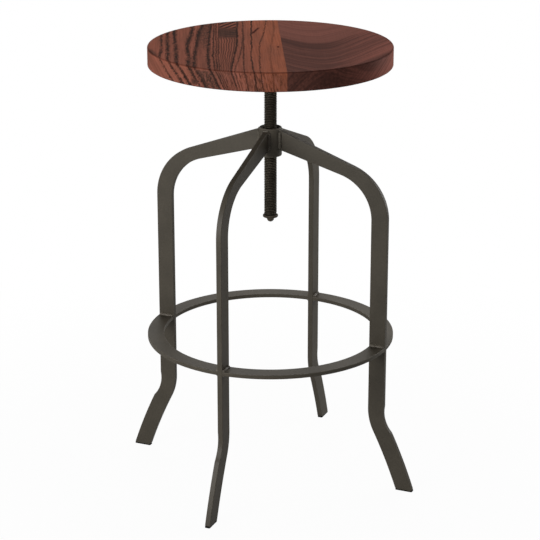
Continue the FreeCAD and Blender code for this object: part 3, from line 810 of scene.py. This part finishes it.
def striped_board():
    """The left board: near-black streaks that wander along it, lean through the thickness, waver and
    fray; a smoky band; a burl with level lines, slanting lines behind it and fine lines that draw
    together in front of it; a red knot streak; flecks on the rim; brighter wood towards the join."""
    material, tree, shader = new_material("seat_wood_light")
    across, along, depth = board_place(tree)
    lean = times(tree, depth, ramp(tree, across, -140, 20, -0.75, -0.05))
    waver = noise(tree, stretched(tree, across, along, depth, 0.04, 0.035), 1.0, 2.0)
    fray = noise(tree, stretched(tree, across, along, depth, 0.5, 0.1), 1.0, 3.0, 0.65)
    reach = maths(tree, "MULTIPLY_ADD", along, 1 / 360, 0.5)
    span = STREAK_SPAN[1] - STREAK_SPAN[0]
    bent = maths(tree, "MULTIPLY_ADD", waver, 4.0, maths(tree, "ADD", across, lean))
    calm = maths(tree, "DIVIDE", maths(tree, "SUBTRACT", bent, STREAK_SPAN[0] + 2.0), span)
    ragged = times(tree, maths(tree, "SUBTRACT", fray, 0.5),
                   ramp(tree, across, -92, -84, 15 / span, 5 / span))
    share = maths(tree, "ADD", calm, ragged)
    dark = None
    for places, width, strength in STREAKS:
        apart = maths(tree, "ABSOLUTE", maths(tree, "SUBTRACT", share, streak_line(tree, reach, places)))
        streak = ramp(tree, apart, 0.1 * width / span, 1.2 * width / span, strength, 0.0)
        dark = streak if dark is None else maths(tree, "MAXIMUM", dark, streak)
    patchy = noise(tree, stretched(tree, across, along, depth, 0.09, 0.035), 1.0, 2.0)
    dark = times(tree, dark, ramp(tree, patchy, 0.3, 0.5, 0.7, 1.0))

    burl_share = strip_share(tree, calm, reach, BURL_LEFT, BURL_RIGHT)
    strip = between(tree, burl_share, 0.0, 1.0, 0.1)
    fine_turn = times(tree, burl_share, 44.0)
    fine = maths(tree, "SINE", maths(tree, "MULTIPLY_ADD", fray, 1.5, fine_turn))
    drawn = times(tree, times(tree, strip, ramp(tree, along, 40, 62, 1.0, 0.0)),
                  ramp(tree, fine, -0.2, 0.9, 0.0, 0.72))
    slope = maths(tree, "MULTIPLY_ADD", along, -0.58, across)
    slant_turn = maths(tree, "MULTIPLY_ADD", slope, 0.52, times(tree, waver, 3.0))
    slant = maths(tree, "SINE", slant_turn)
    raked = times(tree, times(tree, strip, ramp(tree, along, 108, 124)),
                  ramp(tree, slant, -0.5, 0.5, 0.0, 0.9))
    fleck_place = add_node(tree, "ShaderNodeCombineXYZ", {
        0: maths(tree, "MULTIPLY_ADD", depth, -0.1, times(tree, across, 0.45)),
        1: times(tree, depth, 0.1), 2: times(tree, along, 0.03)}).outputs[0]
    fleck = noise(tree, fleck_place, 1.0, 3.0, 0.65)
    side = times(tree, between(tree, across, -112, 14, 10), ramp(tree, depth, 1, 3))
    flecked = times(tree, side, ramp(tree, fleck, 0.48, 0.66, 0.0, 0.7))
    for mark in (drawn, raked, flecked):
        dark = maths(tree, "MAXIMUM", dark, mark)

    level = noise(tree, stretched(tree, across, along, depth, 0.03, 0.4), 1.0, 2.0)
    burl = times(tree, times(tree, strip, between(tree, along, 48, 120, 14)),
                 ramp(tree, level, 0.35, 0.65, 1.0, 0.62))
    smoke_share = strip_share(tree, share, reach, SMOKE_LEFT, SMOKE_RIGHT)
    smoky = maths(tree, "MAXIMUM", ramp(tree, along, -120, 90, 0.15, 0.85),
                  ramp(tree, depth, 1, 5, 0.0, 0.95))
    band = times(tree, between(tree, smoke_share, 0.0, 1.0, 0.12), smoky)
    smoke = times(tree, band, ramp(tree, fray, 0.35, 0.62, 0.25, 1.0))
    blotch = times(tree, between(tree, across, -114, -107, 2.5),
                   between(tree, depth, 17, 25, 3))
    front_blotch = times(tree, blotch, ramp(tree, along, -120, -60, 0.8, 0.0))
    smoke = maths(tree, "MAXIMUM", smoke, front_blotch)
    along_squared = times(tree, along, along)
    from_middle = maths(tree, "SQRT", maths(tree, "MULTIPLY_ADD", across, across, along_squared))
    top_rim = times(tree, ramp(tree, from_middle, 168, 176), ramp(tree, depth, 0.6, 2, 1, 0))
    hook_place = times(tree, between(tree, along, -70, -26, 14),
                       ramp(tree, across, -168, -156, 0.75, 0.0))
    hook = times(tree, hook_place, top_rim)
    knot_line = maths(tree, "MULTIPLY_ADD", fray, 6.0, maths(tree, "MULTIPLY_ADD", along, -0.255, across))
    knot = times(tree, between(tree, knot_line, -43.0, -39.0, 1.2),
                 between(tree, along, 76, 119, 8))
    pin = times(tree, between(tree, across, 9.0, 12.0, 0.8), between(tree, along, -20, -11, 2))
    red = tint(tree, ramp(tree, across, -60, 12), (0.290, 0.096, 0.062, 1), (0.350, 0.108, 0.057, 1))
    cloud = noise(tree, stretched(tree, across, along, depth, 0.05, 0.009), 1.0, 2.0)
    clouded = tint(tree, ramp(tree, cloud, 0.35, 0.7, 0.0, 0.5), red, (0.180, 0.068, 0.044, 1))
    pale_flecks = times(tree, side, ramp(tree, fleck, 0.36, 0.46, 0.5, 0.0))
    paler = tint(tree, pale_flecks, clouded, (0.34, 0.135, 0.105, 1))
    dusky = maths(tree, "MAXIMUM", maths(tree, "MAXIMUM", smoke, hook), burl)
    smoked = tint(tree, dusky, paler, (0.042, 0.024, 0.018, 1))
    knotted = tint(tree, maths(tree, "MAXIMUM", knot, pin), smoked, (0.060, 0.014, 0.009, 1))
    marked = tint(tree, dark, knotted, (0.015, 0.010, 0.008, 1))
    colour = tint(tree, ramp(tree, depth, 1, 5, 0.0, 0.17), marked, (0.052, 0.034, 0.030, 1))
    finish_board(tree, shader, colour, bent, along, times(tree, depth, 0.05), 1.3, 0.14)
    return material


def flamed_board():
    """The right board: growth rings cut on the flat, so they nest as round-nosed arches that point to
    the front; an arch's line is the distance along less a hyperbola in the distance across. The wood
    is paler inside the last dark arch, and ring follows ring outside it; the rim is dark and mottled,
    with painted shade deepening it towards the join and painted light making it paler at its far right."""
    material, tree, shader = new_material("seat_wood_dark")
    across, along, depth = board_place(tree)
    waver = noise(tree, stretched(tree, across, along, depth, 0.016, 0.012), 1.0, 2.0)
    off_middle = times(tree, maths(tree, "SUBTRACT", across, 66), 1.75)
    arch = maths(tree, "SQRT", maths(tree, "MULTIPLY_ADD", off_middle, off_middle, 62.0 ** 2))
    ring = maths(tree, "MULTIPLY_ADD", depth, 1.2, maths(tree, "SUBTRACT", along, arch))
    line = maths(tree, "MULTIPLY_ADD", maths(tree, "SUBTRACT", waver, 0.5), 26.0, ring)
    heart = ramp(tree, line, -63, -50)
    rings = add_node(tree, "ShaderNodeCombineXYZ", {
        0: line, 1: times(tree, across, 0.05)}).outputs[0]
    wide = noise(tree, rings, 0.055, 2.0)
    thin = noise(tree, rings, 0.17, 2.0)
    right = ramp(tree, across, 60, 165)
    outside = tint(tree, ramp(tree, line, -125, -66), (0.160, 0.061, 0.046, 1), (0.098, 0.039, 0.030, 1))
    warmed = tint(tree, right, outside, (0.250, 0.089, 0.067, 1))
    base = tint(tree, heart, warmed, (0.218, 0.082, 0.062, 1))
    clear = ramp(tree, heart, 0, 1, 1.0, 0.35)
    ring_dark = (0.060, 0.026, 0.021, 1)
    wide_band = times(tree, ramp(tree, wide, 0.4, 0.62, 0.0, 0.5), clear)
    banded = tint(tree, wide_band, base, (0.080, 0.034, 0.027, 1))
    thin_ring = times(tree, ramp(tree, thin, 0.44, 0.62, 0.0, 0.5), clear)
    ringed = tint(tree, thin_ring, banded, ring_dark)
    on_side = ramp(tree, depth, 1, 4)
    crossing = noise(tree, add_node(tree, "ShaderNodeCombineXYZ", {
        0: maths(tree, "ADD", across, depth)}).outputs[0], 0.21, 2.0)
    crossed = times(tree, times(tree, on_side, ramp(tree, across, 90, 140)),
                    ramp(tree, crossing, 0.45, 0.62, 0.0, 0.45))
    # Painted light: the rim is made paler towards its far right end.
    painted_light_rim = times(tree, on_side, ramp(tree, across, 130, 165, 0.0, 0.6))
    ringed = tint(tree, crossed, tint(tree, painted_light_rim, ringed, (0.330, 0.132, 0.102, 1)), ring_dark)
    mottle = noise(tree, add_node(tree, "ShaderNodeCombineXYZ", {
        0: times(tree, across, 0.3), 1: times(tree, depth, 0.22),
        2: times(tree, along, 0.1)}).outputs[0], 1.0, 3.0, 0.6)
    # The rim's speckled mottling, deepened by painted shade that is full near the join and fades to little
    # at the far right.
    mottled = times(tree, on_side, ramp(tree, mottle, 0.35, 0.65, 0.12, 0.52))
    shaded = times(tree, mottled, ramp(tree, across, 80, 142, 1.0, 0.05))
    colour = tint(tree, shaded, ringed, (0.026, 0.014, 0.012, 1))
    finish_board(tree, shader, colour, across, along, depth, 0.3, 0.08)
    return material


lacquered_grain = lacquer_group()
for side, way, wood, slot in (("left", -1, striped_board, "seat_wood_light"),
                              ("right", 1, flamed_board, "seat_wood_dark")):
    board_points, board_rim = board_surface(way)
    board = skin("seat_board_" + side + "_plank", board_points[None], loop_columns=True,
                 edge=board_rim, sharp=40)
    fit(board, wood(), slot, "seat", "seat_board_" + side)

# Wood screws: four blackened pan heads with cross recesses, driven up through the plate, two into
# each board.
SCREW_CIRCLE = 0.058
SCREW_HEAD_RADIUS = 0.0048
SCREW_HEAD_HEIGHT = 0.0030
RECESS_REACH = 0.0029
RECESS_HALF_WIDTH = 0.00055
RECESS_DEPTH = 0.0017


def screw_head():
    """A low dome hanging from the plate, sunk where a point lies on either arm of a cross."""
    angle = np.linspace(0, 2 * np.pi, 96, endpoint=False)
    share = np.concatenate([np.linspace(0, 0.95, 34), [0.98, 1.0, 1.0]])[:, None]
    radius = SCREW_HEAD_RADIUS * share
    dome = SCREW_HEAD_HEIGHT * np.sqrt(np.clip(1 - (0.96 * share) ** 4, 0, 1)) * np.ones_like(angle)
    dome[-1] = 0
    first, second = radius * np.cos(angle), radius * np.sin(angle)
    arm = np.minimum(np.maximum(np.abs(first) / RECESS_REACH, np.abs(second) / RECESS_HALF_WIDTH),
                     np.maximum(np.abs(second) / RECESS_REACH, np.abs(first) / RECESS_HALF_WIDTH))
    sunk = RECESS_DEPTH * np.clip((1.15 - arm) / 0.3, 0, 1)
    return np.stack([first, second, PLATE_FOOT - dome + sunk], -1)


heads = []
for step in range(4):
    turned_head = swung(screw_head(), 37 * step) + np.array([SCREW_CIRCLE, 0, 0])
    heads.append(swung(turned_head, JOIN_ANGLE + 45 + 90 * step))
screws = skin("seat_screw_heads", np.stack(heads), loop_columns=True, capped=True, sharp=40)
fit(screws, spindle_coat, "spindle_coat", "seat")

# Floor and light: a plain white floor that keeps a faint shadow, a white surround, a large soft light
# over the back, and one low to each side.
FLOOR_REACH = 12.0


def seen_rays(tree):
    """One where a ray comes from the camera, a reflection or a see-through surface, otherwise nothing."""
    path = add_node(tree, "ShaderNodeLightPath").outputs
    indirect = maths(tree, "MAXIMUM", path["Is Glossy Ray"], path["Is Transmission Ray"])
    return maths(tree, "MAXIMUM", path["Is Camera Ray"], indirect)


floor_points = np.stack(np.meshgrid([-FLOOR_REACH, FLOOR_REACH], [-FLOOR_REACH, FLOOR_REACH], [0.0],
                                    indexing="ij"), -1).reshape(1, 2, 2, 3)
floor = skin("floor", floor_points)
floor_white, floor_tree, floor_shader = new_material("floor_white")
floor_shader.inputs["Base Color"].default_value = (0.50, 0.50, 0.50, 1)
floor_shader.inputs["Roughness"].default_value = 0.9
floor_shader.inputs["Specular IOR Level"].default_value = 0.0
away = add_node(floor_tree, "ShaderNodeVectorMath", {
    0: add_node(floor_tree, "ShaderNodeTexCoord").outputs["Object"]}, operation="LENGTH").outputs["Value"]
white = add_node(floor_tree, "ShaderNodeEmission", {"Color": (1, 1, 1, 1), "Strength": 1.0})
clean_white = ramp(floor_tree, away, 0.2, 1.0, 0.965, 1.0)
seen_white = times(floor_tree, seen_rays(floor_tree), clean_white)
floor_mix = add_node(floor_tree, "ShaderNodeMixShader", {
    0: seen_white, 1: floor_shader.outputs[0], 2: white.outputs[0]})
floor_tree.links.new(floor_mix.outputs[0], floor_tree.nodes["Material Output"].inputs["Surface"])
floor.data.materials.append(floor_white)

world = bpy.data.worlds.new("white_surround")
world.use_nodes = True
surround = world.node_tree
surround_light = surround.nodes["Background"]
surround_light.inputs["Color"].default_value = (1, 1, 1, 1)
surround_strength = ramp(surround, seen_rays(surround), 0, 1, 0.05, 1.0)
surround.links.new(surround_strength, surround_light.inputs["Strength"])
bpy.context.scene.world = world


def soft_light(name, place, aim, size, power):
    """A square area light at a place, facing a point."""
    lamp = bpy.data.lights.new(name, "AREA")
    lamp.size = size
    lamp.energy = power
    light = bpy.data.objects.new(name, lamp)
    light.location = place
    way = np.array(aim) - np.array(place)
    tilt = math.acos(-way[2] / np.linalg.norm(way))
    light.rotation_euler = (tilt, 0, math.atan2(way[1], way[0]) - math.pi / 2)
    bpy.context.scene.collection.objects.link(light)


soft_light("over_back", (0.9, 1.8, 2.6), (0, 0, 0.4), 2.0, 59)
soft_light("low_left", (-1.359, -0.634, 0.75), (0, 0, 0.4), 0.9, 19)
soft_light("low_right", (1.5, 0.06, 0.75), (0, 0, 0.4), 0.9, 14.4)

# Camera: the photograph's own viewpoint, a long lens looking down on the stool from its left front.
# Its place, turn and lens were fitted to the stool's edges.
camera_data = bpy.data.cameras.new("camera")
camera_data.lens = 127.69
camera_data.sensor_width = 36.0
camera_data.shift_x = -0.0008
camera = bpy.data.objects.new("camera", camera_data)
camera.location = (-1.0118, -2.5232, 1.2548)
camera.rotation_euler = (math.radians(90 - 18.937), 0, math.radians(-21.85))
bpy.context.scene.collection.objects.link(camera)
bpy.context.scene.camera = camera
bpy.context.scene.view_settings.view_transform = "Standard"
